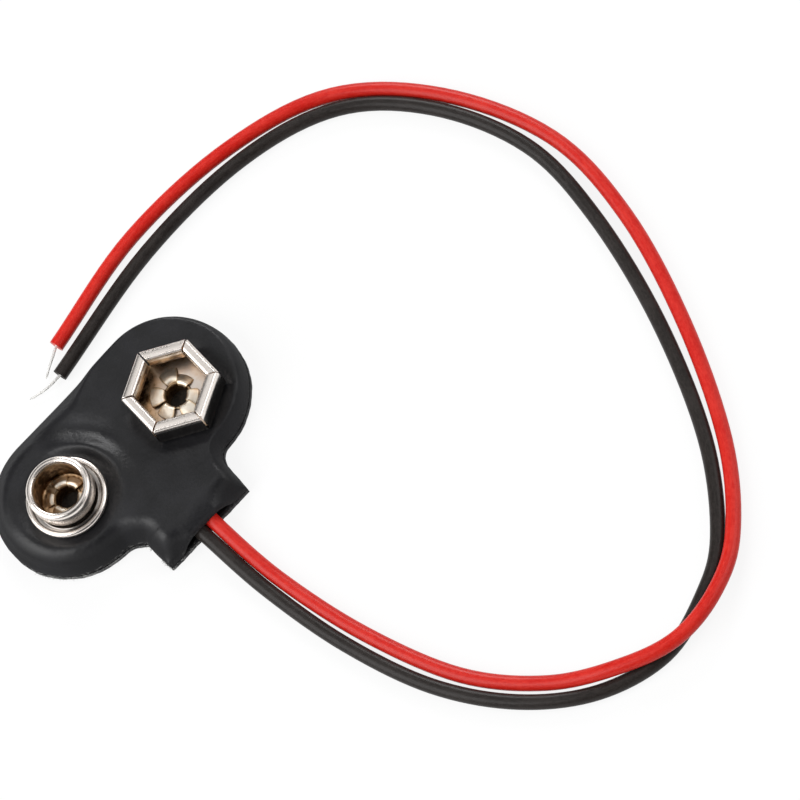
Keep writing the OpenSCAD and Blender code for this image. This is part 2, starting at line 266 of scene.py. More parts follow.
def sheathLooks(word):
    def looks(pen):
        run = pen.node("ShaderNodeUVMap", {"uv_map": "run"})
        drawn = clouds(pen, stretched(pen, run, (2.0, 26.0, 1.0)), 1.0, 3.0, 0.5)
        dust = clouds(pen, stretched(pen, run, (9.0, 12.0, 1.0)), 1.0, 4.0, 0.6)
        soft = clouds(pen, inMillimetres(pen), 0.5, 2.0)
        tone = (drawn * 0.45 + dust * 0.25 + soft * 0.3).spread(0.38, 0.62)
        cut = own(pen, "cutEdge")
        skin = tone.blend(sheath[word], sheath[word + "Worn"])
        return {"Base Color": cut.blend(skin, sheath[word + "Cut"]),
                "Roughness": 0.25 + soft * 0.12 + dust * 0.08 + cut * 0.3,
                "Normal": bump(pen, drawn * 0.5 + dust * 0.25 + soft * 0.8, 0.018, 0.7)}
    return looks


tin = {"pale": (0.93, 0.92, 0.90, 1), "dull": (0.76, 0.75, 0.73, 1)}
flux = {"dark": (0.012, 0.009, 0.006, 1), "amber": (0.05, 0.038, 0.026, 1)}
board = {"brown": (0.13, 0.085, 0.05, 1), "pale": (0.24, 0.165, 0.10, 1)}
copper = {"bright": (0.62, 0.29, 0.15, 1), "dark": (0.36, 0.15, 0.07, 1)}
fibre = {"pale": (0.46, 0.46, 0.45, 1), "grey": (0.20, 0.20, 0.20, 1)}


def tinLooks(pen):
    flow = clouds(pen, inMillimetres(pen), 5.0, 4.0, 0.6)
    shade = flow.spread(0.35, 0.7).blend(tin["pale"], tin["dull"])
    return {"Base Color": shade, "Roughness": 0.52 + flow * 0.22, "Normal": bump(pen, flow, 0.008, 0.5)}


def fluxLooks(pen):
    crust = clouds(pen, inMillimetres(pen), 3.5, 5.0, 0.65)
    shade = crust.spread(0.35, 0.7).blend(flux["dark"], flux["amber"])
    return {"Base Color": shade, "Roughness": 0.55 + crust * 0.3, "Normal": bump(pen, crust, 0.04, 0.8)}


def boardLooks(pen):
    at = inMillimetres(pen)
    pressed = clouds(pen, stretched(pen, at, (0.6, 5.0, 3.0)), 2.0, 5.0, 0.65)
    mottle = clouds(pen, at, 1.1, 3.0)
    shade = (pressed * 0.6 + mottle * 0.4).spread(0.35, 0.65).blend(board["brown"], board["pale"])
    return {"Base Color": shade, "Roughness": 0.62 + pressed * 0.2, "Normal": bump(pen, pressed, 0.03, 0.7)}


def copperLooks(pen):
    lay = clouds(pen, stretched(pen, inMillimetres(pen), (3.0, 3.0, 9.0)), 3.0, 4.0, 0.6)
    shade = lay.spread(0.35, 0.65).blend(copper["bright"], copper["dark"])
    return {"Base Color": shade, "Roughness": 0.26 + lay * 0.2, "Normal": bump(pen, lay, 0.02, 0.7)}


def fibreLooks(pen):
    shade = clouds(pen, inMillimetres(pen), 1.6, 2.0).spread(0.4, 0.6).blend(fibre["pale"], fibre["grey"])
    return {"Base Color": shade, "Roughness": 0.82}


finish = {
    "leather": makeMaterial("blackLeathercloth", leatherLooks, Specular_IOR_Level=leather["gloss"]),
    "nickel": makeMaterial("nickelPlate", nickelLooks, Metallic=1.0),
    "brass": makeMaterial("rivetBrass", brassLooks, Metallic=1.0),
    "red": makeMaterial("redSheath", sheathLooks("red"), Specular_IOR_Level=sheath["redGloss"]),
    "black": makeMaterial("blackSheath", sheathLooks("black"), Specular_IOR_Level=sheath["blackGloss"]),
    "tin": makeMaterial("tinnedStrand", tinLooks, Metallic=1.0),
    "flux": makeMaterial("fluxedSolder", fluxLooks),
    "board": makeMaterial("fibreBoard", boardLooks),
    "copper": makeMaterial("bareCopper", copperLooks, Metallic=1.0),
    "fibre": makeMaterial("clothFibre", fibreLooks),
}
print("finishes made:", len(finish))


def note(mesh, label, values):
    mesh.attributes.new(label, "FLOAT", "POINT").data.foreach_set("value", np.asarray(values, np.float32))


def smooth(mesh, sharp):
    mesh.polygons.foreach_set("use_smooth", [True] * len(mesh.polygons))
    mesh.set_sharp_from_angle(angle=radians(sharp))


def meshObject(name, points, faces, material, sharp, marks, around=True):
    mesh = bpy.data.meshes.new(name)
    mesh.from_pydata([tuple(p) for p in points], [], faces)
    for label, values in marks.items():
        note(mesh, label, values)
    if around:      # turn the faces outwards
        shell = bmesh.new()
        shell.from_mesh(mesh)
        bmesh.ops.recalc_face_normals(shell, faces=shell.faces)
        shell.to_mesh(mesh)
        shell.free()
    smooth(mesh, sharp)
    mesh.materials.append(material)
    return placed(name, mesh)


def belongs(obj, slot, *nodes):
    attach(obj, "root")
    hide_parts(*nodes)
    return obj


# node trees: named inputs, then a plain mesh from what they grow
def openTree(name, sizes):
    kinds = {int: "NodeSocketInt", float: "NodeSocketFloat", bpy.types.Material: "NodeSocketMaterial"}
    tree = bpy.data.node_groups.new(name, "GeometryNodeTree")
    tree.interface.new_socket("Geometry", in_out="INPUT", socket_type="NodeSocketGeometry")
    tree.interface.new_socket("Geometry", in_out="OUTPUT", socket_type="NodeSocketGeometry")
    for label, value in sizes.items():
        tree.interface.new_socket(label, in_out="INPUT", socket_type=kinds[type(value)])
    start = tree.nodes.new("NodeGroupInput")
    return Wire(tree), {s.name: Wire(tree, s) for s in start.outputs if s.name}


def closeTree(pen, grown, material):
    whole = pen.node("GeometryNodeRealizeInstances", None, {"Geometry": grown})
    painted = pen.node("GeometryNodeSetMaterial", None, {"Geometry": whole, "Material": material})
    end = pen.tree.nodes.new("NodeGroupOutput")
    pen.tree.links.new(painted.socket, end.inputs["Geometry"])


def grow(base, pen, sizes):
    modifier = base.modifiers.new(pen.tree.name, "NODES")
    modifier.node_group = pen.tree
    for item in pen.tree.interface.items_tree:
        if item.item_type == "SOCKET" and item.in_out == "INPUT" and item.name in sizes:
            modifier[item.identifier] = sizes[item.name]
    graph = bpy.context.evaluated_depsgraph_get()
    graph.update()
    mesh = bpy.data.meshes.new_from_object(base.evaluated_get(graph), depsgraph=graph)
    base.modifiers.remove(modifier)
    bpy.data.objects.remove(base)
    return mesh


def lineObject(name, points, closed=False):
    data = bpy.data.curves.new(name, "CURVE")
    data.dimensions = "3D"
    spline = data.splines.new("POLY")
    spline.points.add(len(points) - 1)
    for spot, p in zip(spline.points, points):
        spot.co = (*p, 1.0)
    spline.use_cyclic_u = closed
    return placed(name, data)


# cover plan and the heights through it, in millimetres
cover = {"lobeRadius": 6.9, "lobeX": 6.05, "lobeSet": 1.1, "tabX": 4.6, "tabReach": 10.0, "neckRadius": 1.5,
         "turn": 3.5, "backT": 0.6, "edgeZ": 1.4, "topZ": 3.06, "seatZ": 2.86, "plateZ": 1.96,
         "plateTop": 2.56, "pitch": 12.7}
turnCos, turnSin = cos(radians(cover["turn"])), sin(radians(cover["turn"]))


def laid(x, y):
    return x * turnCos - y * turnSin, x * turnSin + y * turnCos


studAt, socketAt = (-cover["pitch"] / 2, 0.0), (cover["pitch"] / 2, 0.0)


# leads first: the routes of the solids, within 0.17 mm, on finer tubes
leads = {"diameter": 1.3, "gap": 0.03, "apart": 0.02, "stripAt": 3.2, "stripRun": 2.0, "stripAngle": 38.5,
         "tabFrom": 6.8, "tabSpread": 0.15, "sides": 28, "steps": 9, "innerBore": 0.30, "innerEdge": 0.05,
         "burr": 0.035, "burrOut": 0.006, "burrIn": 0.07, "core": 0.24,
         "redRun": [(1.95, -17.5, 0), (3.95, -26.5, 0), (7.3, -35, 0), (12, -40.8, 0.1),
                    (17.27, -44.42, 0.76), (22.1, -46.1, 1.06), (27, -45.3, 0.9), (31.4, -42.5, 0.4),
                    (36.4, -36, 0), (41, -26, 0), (44.2, -15, 0), (44.6, -5, 0),
                    (40.71, 4.93, 0), (33.98, 12.26, 0), (24.48, 15.29, 0), (13.01, 15.38, 0),
                    (1.8, 12.6, 0)],
         "blackRun": [(0.6, -17.5, 0), (2.2, -26, 0), (5, -34, 0), (9.2, -40.2, 0), (14.5, -44.4, 0),
                      (20.5, -46, 0), (26, -44.5, 0), (30.4, -41.6, 0), (35.4, -34.6, 0), (39.7, -24, 0),
                      (42.3, -13, 0), (42.6, -4, 0), (39.29, 4.66, 0), (33.41, 10.93, 0), (24.5, 13.62, 0),
                      (13, 13.3, 0), (0.3, 10.3, 0)],
         "redTip": [(0.4, 11.8, -0.1), (-0.8, 11.1, -0.25)],
         "blackTip": [(-1.3, 10.3, -0.1), (-3, 10.7, -0.25)]}
leadZ = cover["backT"] + leads["gap"] + leads["diameter"] / 2
leadSide = leads["diameter"] / 2 + leads["apart"]


def onTable(spots):
    return [(x, y, leads["diameter"] * (0.5 + lift)) for x, y, lift in spots]


def leadRoute(side, run):
    at, a = (socketAt if side > 0 else studAt), radians(leads["stripAngle"])
    strip = (leads["stripAt"], leads["stripAt"] + leads["stripRun"])
    inside = [(at[0] - side * cos(a) * t, -sin(a) * t, leadZ) for t in strip]
    tab = [(*laid(side * (leadSide + leads["tabSpread"]), -leads["tabFrom"]), leadZ),
           (*laid(side * leadSide, -cover["tabReach"]), leadZ)]
    return np.array(inside + tab + onTable(run))


def lineThrough(route, steps):
    p = np.asarray(route, float)
    q = np.vstack([2 * p[0] - p[1], p, 2 * p[-1] - p[-2]])
    line = []
    for i in range(1, len(p)):
        a, b, c, d = q[i - 1:i + 3]
        for t in np.arange(steps) / steps:
            line.append(0.5 * (2 * b + (c - a) * t + (2 * a - 5 * b + 4 * c - d) * t ** 2
                               + (3 * b - a - 3 * c + d) * t ** 3))
    return np.array(line + [p[-1]])


def makeLead(name, route, material):
    line = lineThrough(route, leads["steps"])
    radius, sides, burr = leads["diameter"] / 2, leads["sides"], leads["burr"]
    line[:, 2] = np.maximum(line[:, 2], radius)      # rests on the table
    along = np.gradient(line, axis=0)
    along[-1] = route[-1] - route[-2]
    along /= np.linalg.norm(along, axis=1)[:, None]
    run = np.concatenate([[0], np.cumsum(np.linalg.norm(np.diff(line, axis=0), axis=1))])
    stations = [(line[i], along[i], radius, run[i], 0.0) for i in range(len(line))]
    head, way = line[0], along[0]
    front = [(head, way, leads["innerBore"], 0.0, 1.0), (head, way, radius - leads["innerEdge"], 0.0, 1.0)]
    end, way = line[-1], along[-1]
    back = way * burr
    stations[-1] = (end - back, way, radius, run[-1] - burr, 0.0)      # cut end with a small burr
    lip = [(end + back * 0.4, way, radius + leads["burrOut"], run[-1], 0.35),
           (end, way, radius - leads["burrIn"], run[-1], 1.0),
           (end - back * 2, way, leads["core"], run[-1], 1.0)]
    stations = front + stations + lip
    points, cut = [], []
    for centre, direction, r, _, mark in stations:
        side = np.cross(direction, (0, 0, 1))
        side /= np.linalg.norm(side)
        rise = np.cross(side, direction)
        for k in range(sides):
            a = 2 * pi * k / sides
            points.append(mm * (centre + r * (cos(a) * side + sin(a) * rise)))
            cut.append(mark)
    faces, uv, last = [], [], len(stations) - 1
    for j in range(last):
        u0, u1 = stations[j][3], stations[j + 1][3]
        for k in range(sides):
            a, b = j * sides + k, j * sides + (k + 1) % sides
            faces.append([a, a + sides, b + sides, b])
            uv += [(u0, k / sides), (u1, k / sides), (u1, (k + 1) / sides), (u0, (k + 1) / sides)]
    faces += [list(range(sides)), [last * sides + k for k in range(sides)][::-1]]
    uv += [(0, k / sides) for k in range(sides)] + [(run[-1], k / sides) for k in range(sides)]
    obj = meshObject(name, points, faces, material, 40, {"cutEdge": cut}, around=False)
    obj.data.uv_layers.new(name="run").data.foreach_set("uv", np.array(uv, np.float32).ravel())
    return obj, line


# stripped ends: a few tinned strands laid up along the tip's own line
strands = {"Count": 7, "Bundle": 0.075 * mm, "Strand": 0.060 * mm, "Turns": 0.6, "Ragged": 0.22, "Seed": 4}
strandLay = {"points": 26, "sides": 8, "loose": (0.75, 1.5), "taper": 0.35, "inside": 0.5, "steps": 8}


def strandTree():
    pen, size = openTree("strandLay", {**strands, "Material": finish["tin"]})
    line = pen.node("GeometryNodeResampleCurve", None,
                    {"Curve": size["Geometry"], "Count": strandLay["points"]})
    many = pen.node("GeometryNodeDuplicateElements", {"domain": "SPLINE"},
                    {"Geometry": line, "Amount": size["Count"]})
    which = many.also("Duplicate Index")
    share = pen.node("GeometryNodeSplineParameter", out="Factor")
    tilt = which / (size["Count"] - 1.0) * (2 * pi) + share * size["Turns"] * (2 * pi)
    middle = pen.math("MINIMUM", which, 1.0)      # the first strand is the core
    loose = pen.chance(*strandLay["loose"], size["Seed"], which)
    wide = size["Bundle"] * middle * (1.0 - share * strandLay["taper"]) * (1.0 + (loose - 1.0) * share)
    normal = pen.node("GeometryNodeInputNormal")
    across = pen.vector("CROSS_PRODUCT", normal, pen.node("GeometryNodeInputTangent"))
    one = pen.vector("SCALE", normal, wide * pen.math("COSINE", tilt))
    two = pen.vector("SCALE", across, wide * pen.math("SINE", tilt))
    wound = pen.node("GeometryNodeSetPosition", None,
                     {"Geometry": many, "Offset": pen.vector("ADD", one, two)})
    short = pen.chance(1.0 - size["Ragged"], 1.0, size["Seed"] + 7.0, which)
    trimmed = pen.node("GeometryNodeTrimCurve", {"mode": "FACTOR"}, {"Curve": wound, 2: 0.0, 3: short})
    ring = pen.node("GeometryNodeCurvePrimitiveCircle", {"mode": "RADIUS"},
                    {"Resolution": strandLay["sides"], "Radius": size["Strand"]})
    tube = pen.node("GeometryNodeCurveToMesh", None,
                    {"Curve": trimmed, "Profile Curve": ring, "Fill Caps": True})
    closeTree(pen, pen.node("GeometryNodeSetShadeSmooth", None, {"Geometry": tube}), size["Material"])
    return pen


def makeTip(name, route, spots, pen):
    direction = (route[-1] - route[-2]) / np.linalg.norm(route[-1] - route[-2])
    points = np.vstack([route[-1] - direction * strandLay["inside"], route[-1], onTable(spots)])
    line = lineObject(name + "Line", mm * lineThrough(points, strandLay["steps"]))
    return placed(name, grow(line, pen, {**strands, "Material": finish["tin"]}))


def makeLeads():
    pen = strandTree()
    for word, side in (("red", 1), ("black", -1)):
        route = leadRoute(side, leads[word + "Run"])
        obj, line = makeLead(word + "Lead", route, finish[word])
        belongs(obj, word + "_insulation", word + "_lead")
        tip = belongs(makeTip(word + "Tip", route, leads[word + "Tip"], pen), "tinned_wire", word + "_tip")


makeLeads()


# formed top skin: one rounded form over pad and tab, with the creases pressed round the contacts
relief = {"shoulderLeft": 2.0, "shoulderRight": 0.61, "shoulderFrom": 3.5, "shoulderOver": 5.0,
          "farSag": 0.4, "sagFrom": 2.0, "sagOver": 4.0, "sagX": -0.8, "sagWide": 4.2,
          "tabLeft": 1.89, "tabRight": 0.81, "tabFrom": 2.0, "tabOver": 4.0, "neckFrom": 4.2, "neckOver": 2.6,
          "endRoll": 1.9, "mouthZ": 2.46, "mouthHalf": 1.3, "mouthOver": 2.2,
          "flatFrom": 0.35, "flatOver": 1.1,
          "ridge": 0.50, "ridgeInside": 0.58, "ridgeOutside": 0.78, "valley": 0.20, "valleyAt": 44.0,
          "valleySpan": 34.0, "valleyRadius": 6.5, "valleyWide": 0.85, "sink": 0.03, "ripple": 0.025,
          "studSeat": (3.60, 1.0), "studClear": (3.9, 0.8),
          "socketSeat": (3.70, 1.3), "socketClear": (4.0, 1.2), "rim": 0.14,
          "weldAt": 205.0, "weldSpan": 42.0, "weldWide": 0.36, "weldStep": 0.24, "weldDrop": 0.45,
          "pocketIn": 1.0, "pocketOver": 0.3,
          "tentHalf": 3.3, "tentOver": 0.9, "tentFrom": 3.2, "tentRun": 0.6,
          "skinT": 0.45, "thinT": 0.3, "tuck": 0.05, "holeRadius": 1.75,
          "topCut": 0.6, "endCut": 0.2, "dullFrom": 0.88, "dullOver": 0.22,
          "rows": (118, 18, 20), "columns": 50, "insets": (0, 0.03, 0.07, 0.13, 0.22, 0.35, 0.52, 0.74, 1.0)}
neckCut = {"from": -82.0, "nick": [(5.74, -5.90), (5.02, -6.34), (4.42, -6.93)],
           "snip": [(4.44, -7.08), (4.585, -7.40)]}      # the left neck is snipped sharp
ripples = ((1.1, 0.7, 0.4), (0.5, -0.9, 1.7), (1.9, -1.3, 2.2))
ridgeAngles = (-180, -62, -40, -20, 0, 22, 45, 62, 85, 180)      # round the stud, 0 towards the socket
ridgeHeights = (0, 0.0, 0.30, 0.62, 0.85, 1.0, 0.70, 0.38, 0.0, 0)
ridgeRadii = (5.0, 5.0, 5.1, 5.1, 5.0, 4.8, 4.65, 4.7, 4.8, 5.0)


def ease(t):
    t = np.clip(t, 0, 1)
    return t * t * (3 - 2 * t)


def roundOff(t):
    return 1 - (1 - np.clip(t, 0, 1)) ** 2


def hill(d, width):
    return np.exp(-(d / width) ** 2)


def mix(low, high, share):
    return low + (high - low) * share


def away(distance, zone):
    return ease((distance - zone[0]) / zone[1])


def seated(z, distance, seat, zone):
    return np.where(distance < sum(zone), np.minimum(z, mix(seat, z, away(distance, zone))), z)


def coverEdges(lobeSteps, neckSteps, tabSteps):
    c = cover
    reach = c["lobeRadius"] + c["neckRadius"]
    dx = max(c["tabX"] + c["neckRadius"] - c["lobeX"], 0.04 * reach)
    neck = (c["lobeX"] + dx, c["lobeSet"] - sqrt(reach ** 2 - dx ** 2))
    turn = -acos(dx / reach)

    def lobe(a0, a1, n):
        return [(c["lobeX"] + c["lobeRadius"] * cos(a), c["lobeSet"] + c["lobeRadius"] * sin(a))
                for a in np.linspace(a0, a1, n + 1)]

    bend = [(neck[0] + c["neckRadius"] * cos(a), neck[1] + c["neckRadius"] * sin(a))
            for a in np.linspace(turn + pi, pi, neckSteps + 1)[1:]]
    foot, corner = np.array((neck[0] - c["neckRadius"], neck[1])), np.array((c["tabX"], -c["tabReach"]))
    tab = [tuple(foot + (corner - foot) * t) for t in np.linspace(0, 1, tabSteps + 1)[1:]]
    right = np.array(lobe(pi / 2, turn, lobeSteps) + bend + tab)
    start = radians(neckCut["from"])
    nick = lineThrough(lobe(start, start, 0) + neckCut["nick"], 8)
    left = np.array(lobe(pi / 2, start, 4 * lobeSteps)[:-1] + [tuple(p) for p in nick] + neckCut["snip"]
                    + [(c["tabX"], -c["tabReach"])])
    leftX = np.interp(-right[:, 1], -left[:, 1], left[:, 0])
    return right, np.column_stack([-leftX, right[:, 1]])


def sideDistance(x, y, right, left):
    ring = np.vstack([right[::-1], left])      # open at the tab's end
    best = np.full(x.shape, 99.0)
    for p, q in zip(ring, ring[1:]):
        along = q - p
        size = along @ along
        if size < 1e-12:
            continue
        t = np.clip(((x - p[0]) * along[0] + (y - p[1]) * along[1]) / size, 0, 1)
        best = np.minimum(best, np.hypot(x - p[0] - t * along[0], y - p[1] - t * along[1]))
    return best


def coverHeight(x, y, far):
    c, r = cover, relief
    out = -y
    padWide = mix(r["shoulderRight"], r["shoulderLeft"], ease((r["shoulderFrom"] - x) / r["shoulderOver"]))
    sag = ease((y - r["sagFrom"]) / r["sagOver"]) * hill(x - r["sagX"], r["sagWide"])
    padWide = padWide + r["farSag"] * sag
    tabWide = mix(r["tabRight"], r["tabLeft"], ease((r["tabFrom"] - x) / r["tabOver"]))
    wide = mix(padWide, tabWide, ease((out - r["neckFrom"]) / r["neckOver"]))
    end = roundOff((c["tabReach"] - out) / r["endRoll"])
    drawn = ease(1 - (abs(x) - r["mouthHalf"]) / r["mouthOver"])      # drawn up only over the leads
    crown = mix(mix(c["edgeZ"], r["mouthZ"], drawn), c["topZ"], end)
    z = mix(c["edgeZ"], crown, roundOff(far / wide))
    inner = ease((far - r["flatFrom"]) / r["flatOver"]) * end

    wx, wy = laid(x, y)      # in the contacts' own frame
    sx, sy = wx - studAt[0], wy - studAt[1]
    sr, sa = np.hypot(sx, sy), np.degrees(np.arctan2(sy, sx))
    rise, crest = np.interp(sa, ridgeAngles, ridgeHeights), np.interp(sa, ridgeAngles, ridgeRadii)
    off = sr - crest
    fold = np.where(off < 0, hill(off, r["ridgeInside"]), hill(off, r["ridgeOutside"]))
    z = z + inner * r["ridge"] * rise * fold
    slack = hill(sa - r["valleyAt"], r["valleySpan"]) * hill(sr - r["valleyRadius"], r["valleyWide"])
    z = z - inner * r["valley"] * slack      # behind the ridge
    hx, hy = wx - socketAt[0], wy - socketAt[1]
    hr = sum(abs(hx * cos(a) + hy * sin(a)) ** 8 for a in (0, pi / 3, 2 * pi / 3)) ** (1 / 8)      # hexagonal
    seat = c["seatZ"] - r["sink"]
    z = seated(seated(z, sr, seat, r["studSeat"]), hr, seat, r["socketSeat"])

    clear = away(sr, r["studClear"]) * away(hr, r["socketClear"])
    first, second, third = (np.sin(a * x + b * y + start) for a, b, start in ripples)
    z = z + inner * clear * r["ripple"] * (first * second + 0.6 * third)
    near = (np.degrees(np.arctan2(y - c["lobeSet"], x + c["lobeX"])) - r["weldAt"] + 180) % 360 - 180
    pressed = 1 - ease((far - r["weldWide"]) / r["weldStep"])
    z = z - r["weldDrop"] * hill(near, r["weldSpan"]) * pressed      # flat weld along the edge
    edge = np.minimum(far, c["tabReach"] - out)
    return z - r["rim"] * (1 - np.clip(edge / r["rim"], 0, 1)) ** 2


def coverCeiling(x, y, top):
    c, r = cover, relief
    inset = c["lobeRadius"] - np.hypot(np.maximum(abs(x) - c["lobeX"], 0), y - c["lobeSet"])
    pocket = mix(c["backT"], c["plateTop"], ease((inset - r["pocketIn"]) / r["pocketOver"]))
    tent = np.clip((r["tentHalf"] - abs(x)) / r["tentOver"], 0, 1)      # off the back over the leads
    tent = tent * ease((-y - r["tentFrom"]) / r["tentRun"])
    under = c["backT"] + np.maximum(top - r["skinT"] - c["backT"], 0) * tent
    return np.minimum(np.maximum(pocket, under), top - r["thinT"])


def coverGrid(right, left, columns, insets):
    def half(w):
        return np.concatenate([w - np.array(insets), np.linspace(w - insets[-1], 0, columns)[1:]])
    xs = np.array([np.concatenate([-half(-a), half(b)[::-1][1:]]) for a, b in zip(left[:, 0], right[:, 0])])
    return xs, np.repeat(right[:, 1][:, None], xs.shape[1], axis=1)


def rimLoop(rows, wide):
    right = [j * wide + wide - 1 for j in range(rows)]
    near = [(rows - 1) * wide + i for i in range(wide - 2, -1, -1)]
    left = [j * wide for j in range(rows - 2, -1, -1)]
    far = [i for i in range(1, wide - 1)]
    return right + near + left + far


def gridFaces(rows, wide, skip, first=0, turned=False):
    faces = []
    for j in range(rows - 1):
        for i in range(wide - 1):
            if (j, i) not in skip:
                a = first + j * wide + i
                quad = [a, a + 1, a + wide + 1, a + wide]
                faces.append(quad[::-1] if turned else quad)
    return faces


def loopNormals(loop):
    ahead, behind = np.roll(loop, -1, axis=0), np.roll(loop, 1, axis=0)
    along = ahead - behind
    along /= np.maximum(np.linalg.norm(along, axis=1), 1e-9)[:, None]
    return np.stack([-along[:, 1], along[:, 0]], axis=1)      # outwards, as the rim runs clockwise


def makeTopSkin():
    right, left = coverEdges(*relief["rows"])
    xs, ys = coverGrid(right, left, relief["columns"], relief["insets"])
    rows, wide = xs.shape
    top = coverHeight(xs, ys, sideDistance(xs, ys, right, left))
    ceiling = coverCeiling(xs, ys, top)
    wx, wy = laid(xs, ys)
    under = np.stack([wx, wy, ceiling], axis=2).reshape(-1, 3)
    loop = np.array(rimLoop(rows, wide))
    flat = np.stack([wx, wy], axis=2).reshape(-1, 2)
    under[loop, :2] -= relief["tuck"] * loopNormals(flat[loop])
    points = np.vstack([np.stack([wx, wy, top], axis=2).reshape(-1, 3), under])
    midX = (wx[:-1, :-1] + wx[1:, 1:] + wx[1:, :-1] + wx[:-1, 1:]) / 4
    midY = (wy[:-1, :-1] + wy[1:, 1:] + wy[1:, :-1] + wy[:-1, 1:]) / 4
    holes = set()
    for at in (studAt, socketAt):
        inside = np.hypot(midX - at[0], midY - at[1]) < relief["holeRadius"]
        holes |= {(int(j), int(i)) for j, i in np.argwhere(inside)}
    count = rows * wide
    faces = gridFaces(rows, wide, holes) + gridFaces(rows, wide, holes, count, True)
    faces += [[a, b, b + count, a + count] for a, b in zip(loop, np.roll(loop, -1))]
    for j, i in sorted(holes):      # walls round the rivet holes
        a = j * wide + i
        for other, p, q in (((j - 1, i), a, a + 1), ((j + 1, i), a + wide + 1, a + wide),
                            ((j, i - 1), a + wide, a), ((j, i + 1), a + 1, a + wide + 1)):
            if other not in holes:
                faces.append([p, q, q + count, p + count])
    cut = np.zeros(len(points))
    atEnd = ys.ravel()[loop] < 0.02 - cover["tabReach"]      # folded there, so it shows less of a cut
    edge = np.where(atEnd, relief["endCut"], 1.0)
    cut[loop], cut[loop + count] = relief["topCut"] * edge, edge
    used = sorted({v for f in faces for v in f})
    place = {v: k for k, v in enumerate(used)}
    faces = [[place[v] for v in f] for f in faces]
    obj = meshObject("topSkin", mm * points[used], faces, finish["leather"], 50, {"cutEdge": cut[used]})
    lie = np.empty(len(used) * 3, np.float32)
    obj.data.vertices.foreach_get("normal", lie)
    steep = np.clip((relief["dullFrom"] - lie[2::3]) / relief["dullOver"], 0, 1)      # slopes are rubbed dull
    note(obj.data, "steep", steep)
    print("top skin formed:", len(faces), "faces")
    return belongs(obj, "cover", "top_skin")


makeTopSkin()


# flat back sheet with an uneven cut edge, and the cloth fibres that stand out of it
backSheet = {"rows": (96, 12, 8), "columns": 30, "insets": (0, 0.15, 0.4, 0.9), "flash": 0.07, "round": 0.10,
             "topIn": 0.03, "topDown": 0.01, "edgeDown": 0.08, "fibreDown": 0.06,
             "waves": ((0.2, 17, 0.4), (0.17, 41, 2.1), (0.13, 97, 1.2))}


def unevenCut(n):
    t = np.arange(n) / n * 2 * pi
    return sum((high * np.sin(times * t + start) for high, times, start in backSheet["waves"]), 0.5)


def makeBackSkin():
    b = backSheet
    xs, ys = coverGrid(*coverEdges(*b["rows"]), b["columns"], b["insets"])
    rows, wide = xs.shape
    wx, wy = laid(xs, ys)
    flat = np.stack([wx, wy], axis=2).reshape(-1, 2)
    loop = np.array(rimLoop(rows, wide))
    out = loopNormals(flat[loop])
    count, thick, n = rows * wide, cover["backT"], len(loop)
    proud = b["flash"] * unevenCut(n)[:, None]
    top = np.column_stack([flat, np.full(count, thick - b["topDown"])])
    low = np.column_stack([flat, np.zeros(count)])
    top[loop, :2] += out * (proud - b["topIn"])
    low[loop, :2] += out * (proud - b["round"])
    upper = np.column_stack([flat[loop] + out * proud, np.full(n, thick - b["edgeDown"])])
    lower = np.column_stack([flat[loop] + out * proud, np.full(n, b["round"])])
    points = np.vstack([top, low, upper, lower])
    faces = gridFaces(rows, wide, ()) + gridFaces(rows, wide, (), count, True)
    u0, l0 = 2 * count, 2 * count + n
    for k in range(n):
        m = (k + 1) % n
        faces += [[loop[k], loop[m], u0 + m, u0 + k], [u0 + k, u0 + m, l0 + m, l0 + k],
                  [l0 + k, l0 + m, count + loop[m], count + loop[k]]]
    cut = np.zeros(len(points))
    cut[loop], cut[u0:] = 1.0, 1.0
    faces = [[int(v) for v in f] for f in faces]
    obj = meshObject("backSkin", mm * points, faces, finish["leather"], 50, {"cutEdge": cut})
    belongs(obj, "cover_back", "back_skin")
    rim = np.column_stack([flat[loop] + out * (proud - b["topIn"]), np.full(n, thick - b["fibreDown"])])
    print("back sheet cut:", len(faces), "faces")
    return mm * rim


fray = {"Count": 1500, "Length": 0.34 * mm, "Width": 0.024 * mm, "Patches": 0.60, "Seed": 11}
frayForm = {"sides": 4, "point": 0.0003 * mm, "sway": 0.75, "lengths": (0.35, 1.15), "patch": 0.42,
            "thicker": (4.0, 10.0, -0.10, 0.16)}      # most of it at the left lobe


